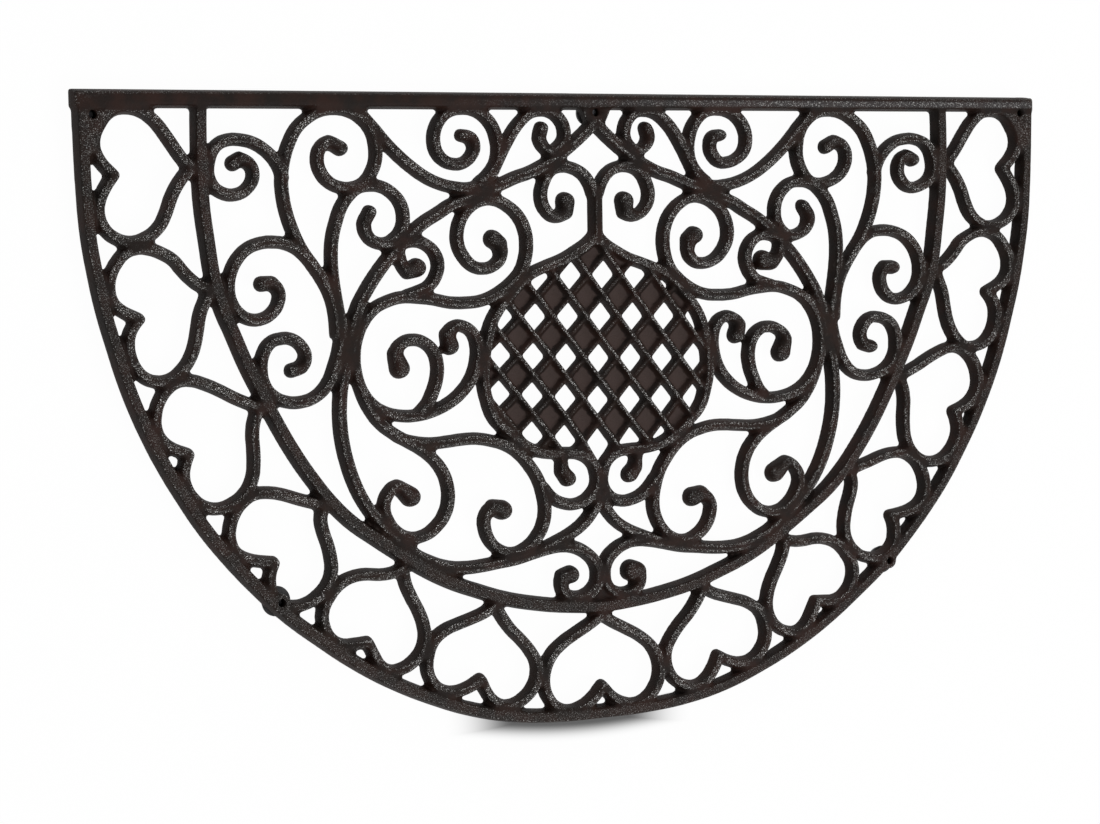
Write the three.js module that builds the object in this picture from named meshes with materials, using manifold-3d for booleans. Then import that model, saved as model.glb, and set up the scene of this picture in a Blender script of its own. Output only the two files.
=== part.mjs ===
// Half-round cast iron door mat, in millimetres, +Z up, lying as it is used.
// One open grille is sand cast in one piece, and stands on five rubber feet.
// Each foot is held from below by a pan head screw and a washer, in a hole drilled through the casting.

import * as THREE from "three";
import { mergeVertices } from "three/addons/utils/BufferGeometryUtils.js";
import Module from "manifold-3d";

const wasm = await Module();
wasm.setup();

// Overall sizes
const MAT_WIDTH = 750;
const MAT_DEPTH = 440;
const FOOT_THICKNESS = 6;
const SNAP = 0.001;

// The pattern is drawn as [out, down]: the distance out from the centre line to either side,
// and the distance down from the line through the three fixing holes of the straight bar.
const HOLE_LINE_TO_BACK_EDGE = 13;
const HOLE_LINE_Y = MAT_DEPTH / 2 - HOLE_LINE_TO_BACK_EDGE;

// Cast bars: width at the underside, width of the crest, height, and the pace of the steps.
// A step is PACE long on the straight, and shorter the tighter the bar turns.
const STRAIGHT_WIDTH = 12;
const STRAIGHT_LINE = STRAIGHT_WIDTH / 2 - HOLE_LINE_TO_BACK_EDGE;
const STRAIGHT_BAR = { base: STRAIGHT_WIDTH, crest: 8, height: 11, pace: 400 };
const RIM_BAR = { base: 12, crest: 7, height: 11, pace: 33 };
const ARCH_BAR = { base: 10.4, crest: 5.5, height: 11, pace: 33 };
const RING_BAR = { base: 9, crest: 4.6, height: 10, pace: 33 };
const SCROLL_BAR = { base: 8.2, crest: 4, height: 10, pace: 40 };
const HEART_BAR = { base: 8.2, crest: 4, height: 10, pace: 40 };
const TURN_LENGTH = 24;

// Rounded ends of the volutes
const EYE_SIDES = 6;
const EYE_CREST_SHARE = 0.6;

// Outer rim, from the corner round to the middle of the curved edge
const RIM = [
  [369, -7.5], [368.5, 20], [367.5, 51], [365.5, 79.5], [361.5, 105], [357, 127], [350.5, 150.5],
  [344, 172], [336, 193.5], [328, 211.5], [317.5, 232], [306.5, 250.5], [293.5, 270.5],
  [277.5, 291], [259, 311.5], [238, 332], [212.5, 352], [185.5, 371], [158.5, 386.5],
  [130, 399.5], [101, 410], [70, 417], [35, 420.5], [0, 421],
];

// Inner arch, from the straight bar to the middle
const ARCH = [
  [290, -4], [290.5, 14.5], [290.5, 35], [289.5, 60], [286.5, 85], [283, 108.5], [277.5, 128],
  [270, 145.5], [261.5, 165.5], [252, 184.5], [242, 203.5], [229.5, 225], [216, 244.5],
  [202.5, 261], [188.5, 274.5], [172.5, 286], [155.5, 297.5], [136, 310], [115.5, 320.5],
  [94.5, 328.5], [75, 335], [50, 340.5], [25, 344], [0, 345.5],
];

// Ring: it leaves the middle hole like a gable, swells out to the arch and ends in the lower volute
const RING = [
  [0, 7], [5.5, 12], [13, 18.5], [22, 25.5], [31.5, 32], [41, 37], [51, 41.5], [61, 44.5],
  [71, 48.5], [80.5, 52], [90.5, 55.5], [100.5, 59.5], [111, 63], [120.5, 68.5], [130.5, 74],
  [140, 81], [149.5, 90], [158.5, 98.5], [167, 108.5], [174.5, 119], [181, 130],
  [185.5, 142.5], [188.5, 155], [191, 168], [194, 181.5], [195.5, 194.5], [195.5, 208],
  [194, 221], [191, 234], [187, 246], [180.5, 259.5], [172.5, 271], [162.5, 281], [153, 290],
  [143, 299], [131, 305.5], [118, 310], [105, 311.5], [92, 311], [79, 309.5], [66, 308],
  [53, 305], [41, 302.5], [30, 301.5], [20, 303], [11, 307.5], [4.5, 314.5], [2.5, 323],
  [4.5, 331], [11.5, 337], [20, 338.5], [28, 335], [32, 328.5], [31, 322.5], [25.5, 319.5],
];

// Each heart between arch and rim has two sides, both drawn from its point on the arch to its cleft
const HEARTS = [
  [
    [[297, 37], [304.5, 27.5], [312.5, 16], [320, 6.5], [329, 0], [339, -2], [348.5, 0],
      [356.5, 8.5], [361, 20.5], [358, 30.5], [348.5, 41]],
    [[297, 37], [304.5, 46], [310, 55.5], [314, 66], [319.5, 75.5], [328, 81.5], [337.5, 84],
      [348.5, 81], [356, 74], [359, 66], [358.5, 58.5], [354.5, 49.5], [348.5, 41]],
  ],
  [
    [[286, 115.5], [292, 113], [297.5, 109], [304, 102.5], [309.5, 96], [317, 91.5],
      [325.5, 88.5], [334, 88], [342, 91], [348.5, 98], [352.5, 106], [353.5, 114],
      [351.5, 121.5], [346.5, 127], [334, 133.5]],
    [[286, 115.5], [289, 123], [292.5, 131.5], [294.5, 141.5], [296.5, 151], [300, 160],
      [306, 168], [314, 173.5], [322.5, 174.5], [331, 171.5], [337, 165], [340.5, 157],
      [341.5, 149.5], [340.5, 143], [337.5, 137.5], [334, 133.5]],
  ],
  [
    [[253, 194.5], [260, 191.5], [270, 187], [279.5, 182], [289.5, 177.5], [299.5, 174.5],
      [308.5, 175], [316, 179.5], [321.5, 186.5], [324.5, 195.5], [324.5, 204.5],
      [320.5, 212.5], [313, 218.5], [303, 222.5]],
    [[253, 194.5], [256.5, 202], [258, 211.5], [257.5, 221.5], [257.5, 231], [259, 241],
      [264, 250], [272.5, 256.5], [282.5, 259.5], [292.5, 257.5], [299.5, 252], [304.5, 244.5],
      [306.5, 237], [305.5, 229], [303, 222.5]],
  ],
  [
    [[208.5, 262], [216.5, 259.5], [226.5, 256.5], [237, 253], [247.5, 251], [257.5, 251.5],
      [266, 256], [272, 263], [275.5, 272.5], [275.5, 281], [271.5, 289], [263.5, 294],
      [253.5, 296.5], [245.5, 297.5]],
    [[208.5, 262], [211, 270], [209.5, 279], [206.5, 288], [204.5, 297], [204, 305.5],
      [207, 314.5], [214, 322], [223, 327], [232, 328], [240.5, 325], [247, 318],
      [248.5, 310.5], [248, 304], [245.5, 297.5]],
  ],
  [
    [[152, 308.5], [160, 311], [169, 311.5], [178.5, 310.5], [189, 311.5], [198.5, 315.5],
      [206, 323], [211, 332.5], [210.5, 342.5], [205.5, 351.5], [197, 357.5], [188, 358.5],
      [179, 356.5]],
    [[152, 308.5], [150.5, 317.5], [146, 328], [141, 337.5], [137.5, 347], [136.5, 357],
      [139.5, 366], [145.5, 372.5], [154, 377], [163, 377.5], [170.5, 373], [176, 365],
      [179, 356.5]],
  ],
  [
    [[83, 338.5], [91.5, 343.5], [101.5, 347], [112, 350], [122, 353.5], [130.5, 360],
      [134.5, 369.5], [135, 380], [130.5, 389], [124, 394.5], [115, 396.5], [105, 394.5],
      [95, 389.5]],
    [[83, 338.5], [77, 348.5], [70.5, 357], [63, 364.5], [56.5, 372.5], [52, 381],
      [51.5, 390], [55, 399], [61.5, 405.5], [70, 409.5], [78, 409.5], [85.5, 405], [91, 398],
      [95, 389.5]],
  ],
  [
    [[0, 352], [10.5, 358.5], [21, 364], [31.5, 370], [40.5, 378], [45.5, 388.5], [46, 398.5],
      [42.5, 407.5], [36, 414.5], [27, 418], [17.5, 416.5], [8, 411], [0, 402.5]],
  ],
];

// Scrolls inside the arch. A volute is drawn out from or in to its eye.
const SCROLLS = {
  corner_volute: [
    [232.5, 45], [235, 37], [239.5, 30], [245.5, 24.5], [252.5, 20.5], [261, 18.5], [270, 18.5],
    [278.5, 22.5], [284, 32.5], [283.5, 45], [276, 52.5], [264.5, 54], [256.5, 49],
    [253.5, 41], [256.5, 33.5], [263, 30.5], [268.5, 33],
  ],
  hanging_scroll: [
    [193.5, 21.5], [199.5, 19.5], [206, 24.5], [208, 32], [206, 39.5], [200.5, 46], [192, 50],
    [183, 50.5], [175, 47.5], [169.5, 41], [166, 32], [166, 22.5], [168.5, 13], [175.5, 4.5],
    [184.5, -0.5], [194.5, -2], [205, -0.5], [214.5, 4.5], [222.5, 11.5], [227.5, 20],
    [231.5, 31], [233.5, 42.5], [233, 55], [231, 65.5], [227, 77.5], [221, 90],
    [213.5, 100.5], [206.5, 110.5], [201, 121], [198, 132], [196.5, 150],
  ],
  s_scroll: [
    [174, 69.5], [176, 75.5], [173, 82.5], [167, 87], [160, 88], [153.5, 85], [148, 78.5],
    [146.5, 70], [148.5, 61.5], [154, 54.5], [161.5, 50], [170, 49], [178.5, 50.5],
    [185.5, 55.5], [191.5, 63], [195.5, 73], [198.5, 84], [199.5, 96.5], [199, 108],
    [197.5, 119.5], [195.5, 131.5], [193.5, 144.5], [195.5, 158.5], [199, 169.5],
    [204, 180.5], [212, 188.5], [222, 192], [233, 191.5], [242.5, 187], [249, 179],
    [251, 169.5], [249.5, 159.5], [244, 152], [236.5, 149.5], [228.5, 150], [222, 155],
    [219.5, 162.5], [221.5, 168.5], [227.5, 172],
  ],
  side_volute: [
    [214, 99.5], [222, 91.5], [231, 87], [241, 85.5], [250.5, 86.5], [259, 90], [266, 96.5],
    [270.5, 104.5], [272.5, 114], [271, 123.5], [266, 131], [258, 136], [249, 136],
    [242, 132], [238, 125.5], [237.5, 118], [241.5, 112.5], [247, 111],
  ],
  bowl_scroll: [
    [180, -4], [175, 2.5], [167, 11], [159.5, 19.5], [149.5, 29], [139.5, 37], [129.5, 43.5],
    [118, 48.5], [106.5, 51], [96, 51.5], [87, 48.5], [80.5, 42.5], [76.5, 35.5], [72.5, 28],
    [67.5, 19.5], [62.5, 12], [56.5, 5.5], [49.5, 0.5], [41.5, -1.5], [34, -0.5], [27.5, 4],
    [24, 10.5], [24, 18], [28, 23.5], [34, 26.5], [40, 24], [44, 19], [44, 13],
  ],
  top_volute: [
    [99, 14.5], [94.5, 17.5], [93, 23.5], [95.5, 30], [101, 34.5], [108.5, 35], [115.5, 32.5],
    [121, 27], [123, 20], [122, 12], [117.5, 4.5], [110.5, -0.5], [101.5, -2.5],
    [92.5, -1.5], [85, 2.5], [79, 9.5], [76, 17.5], [75, 26], [77, 35], [82.5, 42.5],
    [90, 48.5],
  ],
  crown_scroll: [
    [1.5, 57], [4, 50], [9.5, 42.5], [18, 38], [27.5, 37.5], [35.5, 41], [40.5, 48.5],
    [42.5, 58], [39, 67], [31, 72.5], [23, 70.5], [20, 63.5],
  ],
  shoulder_volute: [
    [67, 117.5], [59.5, 110], [55.5, 101], [54, 90], [55.5, 80], [60.5, 70.5], [68.5, 63.5],
    [78, 59.5], [87.5, 60], [96, 64], [103, 71], [106.5, 80], [106.5, 89], [102.5, 97.5],
    [95, 104.5], [86.5, 106.5], [79, 104.5], [74, 98], [73.5, 90], [77, 85],
  ],
  link_loop: [
    [150, 89.5], [144, 87.5], [136.5, 87], [129.5, 89.5], [124, 95], [121.5, 103],
    [123.5, 111], [128.5, 117.5], [136.5, 121], [145, 123.5],
  ],
  link_hook: [[151.5, 91], [148.5, 97], [146.5, 103], [142, 107.5]],
  oval_scroll: [
    [61.5, 113.5], [69, 119], [79, 125], [89, 128.5], [100, 129.5], [112.5, 129],
    [124.5, 126.5], [136.5, 125], [148.5, 124.5], [159, 127], [169.5, 132], [177.5, 140.5],
    [182.5, 151], [184.5, 163], [183.5, 174.5], [179.5, 186], [172, 195.5], [162.5, 201.5],
    [151.5, 204.5], [139.5, 205], [126.5, 202.5], [115, 197.5], [105.5, 190.5], [98, 181],
    [94, 169.5], [93.5, 158.5], [97, 149.5], [103, 145.5], [110, 145.5], [115.5, 149.5],
    [117.5, 155.5],
  ],
  oval_volute: [
    [138, 204], [131.5, 197.5], [127, 189], [124, 180], [123.5, 170], [126.5, 161],
    [133.5, 155], [140.5, 153.5], [148, 155], [154, 161], [156.5, 168.5],
  ],
  lower_volute: [
    [181.5, 181.5], [178, 191], [172.5, 201], [166, 209], [157.5, 215.5], [147.5, 221.5],
    [137, 227.5], [128, 234.5], [121, 243.5], [117.5, 253.5], [117, 263.5], [120, 273.5],
    [127, 282], [136.5, 287.5], [147.5, 287.5], [156, 282.5], [162, 275], [165, 265.5],
    [162.5, 257], [155, 250.5], [147, 251], [143, 255],
  ],
  under_scroll: [
    [159, 214.5], [150.5, 220], [140.5, 223], [129, 224.5], [117, 224], [105, 223], [94, 223],
    [83, 225], [71, 229], [61.5, 235.5], [54, 244], [48, 253.5], [44.5, 264], [43, 275],
    [45, 285.5], [50.5, 294.5], [58.5, 301], [68.5, 304], [78, 301], [85.5, 294.5],
    [89.5, 286], [89.5, 277], [84, 270.5], [78, 271],
  ],
  medallion_frame: [
    [0, 84.5], [6.5, 90.5], [15.5, 96], [26, 101.5], [37.5, 105.5], [49, 110], [59.5, 116.5],
    [68, 125], [76.5, 134.5], [83, 145.5], [86.5, 158], [88.5, 171], [89, 184],
    [86.5, 196.5], [81.5, 209], [71.5, 219], [60.5, 227.5], [49.5, 233.5], [37.5, 236],
    [25.5, 236.5], [14.5, 238], [6, 243.5], [2.5, 251.5], [2.5, 260], [7.5, 267.5],
    [17, 272.5], [28.5, 271.5], [38, 266], [45, 258],
  ],
  frame_hook: [[31, 236], [29.5, 243], [29.5, 249], [26.5, 254]],
  lower_gable: [[0, 264], [2, 271.5], [7.5, 280.5], [15, 288], [25, 294], [35.5, 298.5], [47, 303]],
};

// Rounded eyes at the ends of the volutes: [out, down, radius at the underside]
const EYES = [
  [268, 34.5, 5], [190.5, 24.5, 4.6], [171, 67, 4.6], [231, 171.5, 4.6], [250.5, 113, 4.8],
  [102.5, 15.5, 4.6], [41.5, 10.5, 4.6], [22, 321.5, 5], [137.5, 103.5, 5.2], [114, 159, 4.8],
  [151, 174, 5.8], [145, 260, 6], [75.5, 274, 6], [22.5, 254.5, 4.8], [82.5, 85.5, 5.8],
  [25, 61.5, 5.4],
];

// Spine of the medallion, from the crown scrolls down to the top of its frame
const SPINE = [[0, 52], [0, 92]];

// Lattice of the medallion: [across, row] counts half cells from its middle column and second open row.
// It was set by hand, and isn't a mirror image: its rows run a little downhill to the right and
// are shorter on the left, and its upper rows lean to the right.
const CELL_WIDTH = 25.6;
const CELL_HEIGHT = 29.3;
const CELL_HEIGHT_LOSS = 0.04;
const LATTICE_ROW = 142;
const ROW_FALL = 0.025;
const ROW_LEAN = 0.09;
const UPRIGHT_ROW = 6;
const FRAME_RING_POINTS = 22;
const RIB = { base: 5.2, crest: 2, height: 8 };
const PANEL = { thickness: 4.5, dish_depth: 1.2, dish_width: 10 };

// Flat webs that carry the fixing holes: outlines on one side, and their thickness
const WEB_THICKNESS = 8.5;
const CORNER_WEB = [
  [374, -12], [338, -8], [342, -1], [350, 2], [357, 10], [361, 22], [368, 30], [373, 10],
];
const MIDDLE_WEB = [[0, -8], [14, -8], [9, 3], [6, 9], [0, 5]];
const WEB_DISC_RADIUS = 6;

// Fixings, by the place of their hole: under each hole sit a rubber foot, a washer and a screw
const FIXINGS = {
  back_left: [-363, 2.5],
  back_middle: [-0.5, 0],
  back_right: [361, -0.5],
  front_left: [-242.5, 324],
  front_right: [240.5, 330.5],
};
const HOLE_DIAMETER = 5.8;
const FOOT = { top: 24, bottom: 22, bevel: 1.2, bore: 5.8, recess: 13.6, recess_depth: 3.9 };
const WASHER = { outer: 12.6, bore: 5.6, thickness: 0.9 };
const SCREW = { head: 8.6, head_height: 2, crown: 5.4, shank: 5, length: 8, slot: 4.6, slot_width: 1 };
const CLEARANCE = 0.3;
const ROUND_SIDES = 16;

const IRON = { color: 0x3a302b, roughness: 0.62, metalness: 0.35 };
const RUBBER = { color: 0x17181a, roughness: 0.85, metalness: 0 };
const STEEL = { color: 0x2a2a2b, roughness: 0.5, metalness: 0.8 };

// Turns [out, down] into a place on the plan; side is 1 for the right half and -1 for the left
function place([out, down], side = 1) {
  return new THREE.Vector3(side * out, HOLE_LINE_Y - down, 0);
}

// A smooth centre line, walked in steps that shorten where it turns
class BarPath extends THREE.CatmullRomCurve3 {
  constructor(points, pace) {
    super(points, false, "centripetal");
    const samples = (points.length - 1) * 16;
    this.effort = [0];
    let lastPoint = this.getPoint(0);
    let lastTangent = this.getTangent(0);
    for (let i = 1; i <= samples; i += 1) {
      const point = this.getPoint(i / samples);
      const tangent = this.getTangent(i / samples);
      const cost = point.distanceTo(lastPoint) + TURN_LENGTH * tangent.angleTo(lastTangent);
      this.effort.push(this.effort[i - 1] + cost);
      lastPoint = point;
      lastTangent = tangent;
    }
    this.steps = Math.max(1, Math.ceil(this.effort[samples] / pace));
  }

  getUtoTmapping(u) {
    const target = u * this.effort.at(-1);
    let i = 1;
    while (i < this.effort.length - 1 && this.effort[i] < target) {
      i += 1;
    }
    const share = (target - this.effort[i - 1]) / (this.effort[i] - this.effort[i - 1]);
    return THREE.MathUtils.clamp((i - 1 + share) / (this.effort.length - 1), 0, 1);
  }
}

// Solid from a closed geometry, with its places snapped so that level faces are exactly level
function toSolid(geometry) {
  const bare = geometry.index ? geometry.toNonIndexed() : geometry.clone();
  bare.deleteAttribute("normal");
  bare.deleteAttribute("uv");
  const position = bare.attributes.position;
  for (let i = 0; i < position.array.length; i += 1) {
    position.array[i] = Math.round(position.array[i] / SNAP) * SNAP;
  }
  const merged = mergeVertices(bare, SNAP / 2);
  const triVerts = [];
  for (let i = 0; i < merged.index.count; i += 3) {
    const [a, b, c] = merged.index.array.slice(i, i + 3);
    if (a !== b && b !== c && c !== a) {
      triVerts.push(a, b, c);
    }
  }
  const mesh = new wasm.Mesh({
    numProp: 3,
    vertProperties: merged.attributes.position.array,
    triVerts: new Uint32Array(triVerts),
  });
  return new wasm.Manifold(mesh);
}

function toGeometry(solid) {
  const mesh = solid.getMesh();
  const geometry = new THREE.BufferGeometry();
  geometry.setAttribute("position", new THREE.BufferAttribute(mesh.vertProperties, 3));
  geometry.setIndex(new THREE.BufferAttribute(mesh.triVerts, 1));
  geometry.computeVertexNormals();
  return geometry;
}

const joined = (solids) => solids.reduce((sum, solid) => sum.add(solid));

// One cast bar: a flat underside, sloping sides and a narrow crest, swept along its centre line.
// The sweep turns the section so that its x points down, which is why the heights are negative.
function bar(points, { base, crest, height, pace }) {
  const section = new THREE.Shape([
    new THREE.Vector2(0, -base / 2),
    new THREE.Vector2(0, base / 2),
    new THREE.Vector2(-height, crest / 2),
    new THREE.Vector2(-height, -crest / 2),
  ]);
  const path = new BarPath(points, pace);
  const geometry = new THREE.ExtrudeGeometry(section, { extrudePath: path, steps: path.steps });
  return toSolid(geometry);
}

const onBothSides = (make) => [make(1), make(-1)];

const mirroredBars = (line, kind) =>
  onBothSides((side) => bar(line.map((point) => place(point, side)), kind));

// A bar that crosses the centre line, drawn from one side only
function spanningBar(points, kind) {
  const right = points.map((point) => place(point));
  const left = points.slice(0, -1).map((point) => place(point, -1));
  return bar([...right, ...left.reverse()], kind);
}

// Upright prism on a plan outline
function prism(outline, side, height) {
  const shape = new THREE.Shape(outline.map((point) => {
    const { x, y } = place(point, side);
    return new THREE.Vector2(x, y);
  }));
  return toSolid(new THREE.ExtrudeGeometry(shape, { depth: height, bevelEnabled: false }));
}

// Upright round stub, narrower at the top
function stub([out, down], side, bottomRadius, topRadius, height, sides) {
  const geometry = new THREE.CylinderGeometry(topRadius, bottomRadius, height, sides);
  geometry.rotateX(Math.PI / 2);
  const { x, y } = place([out, down], side);
  geometry.translate(x, y, height / 2);
  return toSolid(geometry);
}

const eye = ([out, down, radius], side) =>
  stub([out, down], side, radius, radius * EYE_CREST_SHARE, SCROLL_BAR.height, EYE_SIDES);

// Solid between two outlines that have the same number of corners, drawn anticlockwise
function tapered(lower, upper, z0, z1) {
  const n = lower.length;
  const corners = [...lower.map(({ x, y }) => [x, y, z0]), ...upper.map(({ x, y }) => [x, y, z1])];
  const faces = [];
  for (let i = 0; i < n; i += 1) {
    const j = (i + 1) % n;
    faces.push(i, j, n + j, i, n + j, n + i);
  }
  for (let i = 1; i < n - 1; i += 1) {
    faces.push(0, i + 1, i, n, n + i, n + i + 1);
  }
  const geometry = new THREE.BufferGeometry();
  geometry.setAttribute("position", new THREE.Float32BufferAttribute(corners.flat(), 3));
  geometry.setIndex(faces);
  return toSolid(geometry);
}

// Lattice corner, with the fall, the lean and the shorter left cells of its hand-set rows
function latticePoint(across, row) {
  const out = (across * CELL_WIDTH) / 2 + ROW_LEAN * (UPRIGHT_ROW - row) ** 2;
  const cellHeight = CELL_HEIGHT + CELL_HEIGHT_LOSS * Math.min(out, 0);
  return place([out, LATTICE_ROW + (row * cellHeight) / 2 + ROW_FALL * out]);
}

// Void of one diamond cell between two levels, kept half a rib away from the lines of the lattice
function cellVoid(across, row, z0, z1) {
  const middle = latticePoint(across, row);
  const corners = [[1, 0], [0, -1], [-1, 0], [0, 1]].map(
    ([dx, dy]) => latticePoint(across + dx, row + dy));
  const halfWidth = CELL_WIDTH / 2;
  const halfHeight = CELL_HEIGHT / 2;
  const inset = Math.hypot(halfWidth, halfHeight) / (halfWidth * halfHeight);
  const outline = (z) => {
    const rib = THREE.MathUtils.lerp(RIB.base, RIB.crest, z / RIB.height) / 2;
    return corners.map((corner) => corner.clone().lerp(middle, rib * inset));
  };
  return tapered(outline(z0), outline(z1), z0, z1);
}

// Shallow square dish in the middle of a closed cell
function dish(across, row) {
  const middle = latticePoint(across, row);
  const square = (width) => [[1, 0], [0, 1], [-1, 0], [0, -1]].map(
    ([dx, dy]) => new THREE.Vector3(dx, dy, 0).multiplyScalar(width * Math.SQRT1_2).add(middle));
  const { thickness, dish_depth: depth, dish_width: width } = PANEL;
  return tapered(square(width - 3 * depth), square(width + depth), thickness - depth, thickness + depth / 3);
}

// Lattice inside the medallion: open and closed cells alternate like the squares of a chessboard
function lattice() {
  const voids = [];
  for (let row = -4; row <= 7; row += 1) {
    for (let across = -7; across <= 7; across += 1) {
      const isOpen = across % 2 === 0 && row % 2 === 0;
      const isClosed = across % 2 !== 0 && row % 2 !== 0;
      if (isOpen && row > -4) {
        voids.push(cellVoid(across, row, -1, RIB.height + 1));
      }
      if (isClosed) {
        voids.push(cellVoid(across, row, PANEL.thickness, RIB.height + 1));
      }
      if (isClosed && Math.hypot(across / 6, (row - 1.7) / 4.6) < 1) {
        voids.push(dish(across, row));
      }
    }
  }
  const frameLine = SCROLLS.medallion_frame.slice(0, FRAME_RING_POINTS);
  const right = new BarPath(frameLine.map((point) => place(point)), SCROLL_BAR.pace);
  const outline = right.getSpacedPoints(right.steps).map(({ x, y }) => [x, HOLE_LINE_Y - y]);
  const left = outline.slice(1).map(([out, down]) => [-out, down]).reverse();
  return prism([...outline, ...left], 1, RIB.height).subtract(joined(voids));
}

function casting() {
  const bars = [
    ...mirroredBars([[0, STRAIGHT_LINE], [MAT_WIDTH / 2, STRAIGHT_LINE]], STRAIGHT_BAR),
    spanningBar(RIM, RIM_BAR),
    spanningBar(ARCH, ARCH_BAR),
    ...mirroredBars(RING, RING_BAR),
    bar(SPINE.map((point) => place(point)), RING_BAR),
    ...HEARTS.flat().flatMap((line) => mirroredBars(line, HEART_BAR)),
    ...Object.values(SCROLLS).flatMap((line) => mirroredBars(line, SCROLL_BAR)),
  ];
  for (const volute of EYES) {
    bars.push(...onBothSides((side) => eye(volute, side)));
  }
  bars.push(...onBothSides((side) => prism(CORNER_WEB, side, WEB_THICKNESS)));
  bars.push(...onBothSides((side) => prism(MIDDLE_WEB, side, WEB_THICKNESS)));
  for (const hole of [FIXINGS.front_left, FIXINGS.front_right]) {
    bars.push(stub(hole, 1, WEB_DISC_RADIUS, WEB_DISC_RADIUS, WEB_THICKNESS, EYE_SIDES));
  }
  let solid = joined(bars).add(lattice());
  for (const hole of Object.values(FIXINGS)) {
    const drill = HOLE_DIAMETER / 2;
    const cutter = stub(hole, 1, drill, drill, RIM_BAR.height * 4, ROUND_SIDES);
    solid = solid.subtract(cutter.translate([0, 0, -RIM_BAR.height]));
  }
  return toGeometry(solid);
}

// Solid of revolution about an upright axis; its closed profile runs [radius, z], out along the bottom
function turned(profile) {
  const points = [...profile, profile[0]].map(([radius, z]) => new THREE.Vector2(radius, z));
  const geometry = new THREE.LatheGeometry(points, ROUND_SIDES);
  geometry.rotateX(Math.PI / 2);
  return toSolid(geometry);
}

// Rubber foot: a bevelled disc, with a recess below that hides the washer and the screw head
function footGeometry() {
  const top = FOOT_THICKNESS - CLEARANCE;
  return toGeometry(turned([
    [FOOT.recess / 2, 0],
    [FOOT.bottom / 2, 0],
    [FOOT.top / 2, FOOT.bevel],
    [FOOT.top / 2, top],
    [FOOT.bore / 2, top],
    [FOOT.bore / 2, FOOT.recess_depth],
    [FOOT.recess / 2, FOOT.recess_depth],
  ]));
}

const washerTop = FOOT.recess_depth - CLEARANCE;
const washerBottom = washerTop - WASHER.thickness;

function washerGeometry() {
  return toGeometry(turned([
    [WASHER.bore / 2, washerBottom],
    [WASHER.outer / 2, washerBottom],
    [WASHER.outer / 2, washerTop],
    [WASHER.bore / 2, washerTop],
  ]));
}

// Pan head screw with a cross recess, its head down
function screwGeometry() {
  const seat = washerBottom - CLEARANCE;
  const bottom = seat - SCREW.head_height;
  const tip = seat + SCREW.length;
  const blank = turned([
    [0, bottom],
    [SCREW.crown / 2, bottom],
    [SCREW.head / 2, seat - SCREW.head_height * 0.45],
    [SCREW.head / 2, seat],
    [SCREW.shank / 2, seat],
    [SCREW.shank / 2, tip - 0.6],
    [SCREW.shank / 2 - 0.6, tip],
    [0, tip],
  ]);
  const slot = () => new THREE.BoxGeometry(SCREW.slot, SCREW.slot_width, SCREW.head_height * 1.2);
  const across = toSolid(slot().translate(0, 0, bottom));
  const along = toSolid(slot().rotateZ(Math.PI / 2).translate(0, 0, bottom));
  return toGeometry(blank.subtract(across.add(along)));
}

const model = new THREE.Group();

function addPiece(name, geometry, look, position) {
  const mesh = new THREE.Mesh(geometry, new THREE.MeshStandardMaterial(look));
  mesh.name = name;
  mesh.position.copy(position);
  model.add(mesh);
}

addPiece("grille_casting", casting(), IRON, new THREE.Vector3(0, 0, FOOT_THICKNESS));
for (const [where, hole] of Object.entries(FIXINGS)) {
  addPiece(`foot_${where}`, footGeometry(), RUBBER, place(hole));
  addPiece(`washer_${where}`, washerGeometry(), STEEL, place(hole));
  addPiece(`screw_${where}`, screwGeometry(), STEEL, place(hole));
}

export default model;
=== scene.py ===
# %% [markdown]
# # A half-round cast iron door mat
# The mat is one open iron casting on five rubber feet. Each foot is held by a pan head screw
# with a washer, from below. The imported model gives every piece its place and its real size,
# and this script gives the pieces their looks around it. Lengths are in metres, +Z is up.

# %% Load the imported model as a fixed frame
import math

import bpy
import numpy as np
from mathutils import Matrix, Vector
from mathutils.kdtree import KDTree


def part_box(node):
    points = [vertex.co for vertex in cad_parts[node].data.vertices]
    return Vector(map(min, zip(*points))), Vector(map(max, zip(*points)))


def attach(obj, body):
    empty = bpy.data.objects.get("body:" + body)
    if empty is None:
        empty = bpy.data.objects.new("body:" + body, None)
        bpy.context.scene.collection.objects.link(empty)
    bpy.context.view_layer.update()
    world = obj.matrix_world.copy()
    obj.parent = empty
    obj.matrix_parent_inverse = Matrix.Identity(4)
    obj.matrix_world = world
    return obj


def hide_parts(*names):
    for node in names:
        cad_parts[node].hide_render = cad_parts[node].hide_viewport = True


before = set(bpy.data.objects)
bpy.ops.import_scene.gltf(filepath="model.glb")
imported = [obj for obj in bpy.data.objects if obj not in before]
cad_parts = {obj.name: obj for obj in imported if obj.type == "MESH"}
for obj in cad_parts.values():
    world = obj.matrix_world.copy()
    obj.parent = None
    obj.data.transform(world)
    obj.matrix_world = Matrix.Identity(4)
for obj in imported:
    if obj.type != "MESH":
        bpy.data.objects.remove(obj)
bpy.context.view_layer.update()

MM = 0.001
casting_low, casting_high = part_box("grille_casting")
UNDERSIDE = casting_low.z
CREST = casting_high.z
BACK_EDGE = casting_high.y
print("casting from", tuple(casting_low), "to", tuple(casting_high))

# %% [markdown]
# ## The camera
# The photograph looks down on the mat from the left, through a long lens. The camera's place
# and turn were found by laying the mat's outline over the picture, so the frame needs no shift.

# %% Camera
FOCAL_LENGTH_MM = 89.18
CAMERA_PLACE = Vector((-0.8994, 0.1355, 1.6909))
CAMERA_TURN_DEGREES = (-3.646, -27.198, -1.011)
SENSOR_WIDTH_MM = 36


def add_object(name, data):
    thing = bpy.data.objects.new(name, data)
    bpy.context.scene.collection.objects.link(thing)
    return thing


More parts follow.
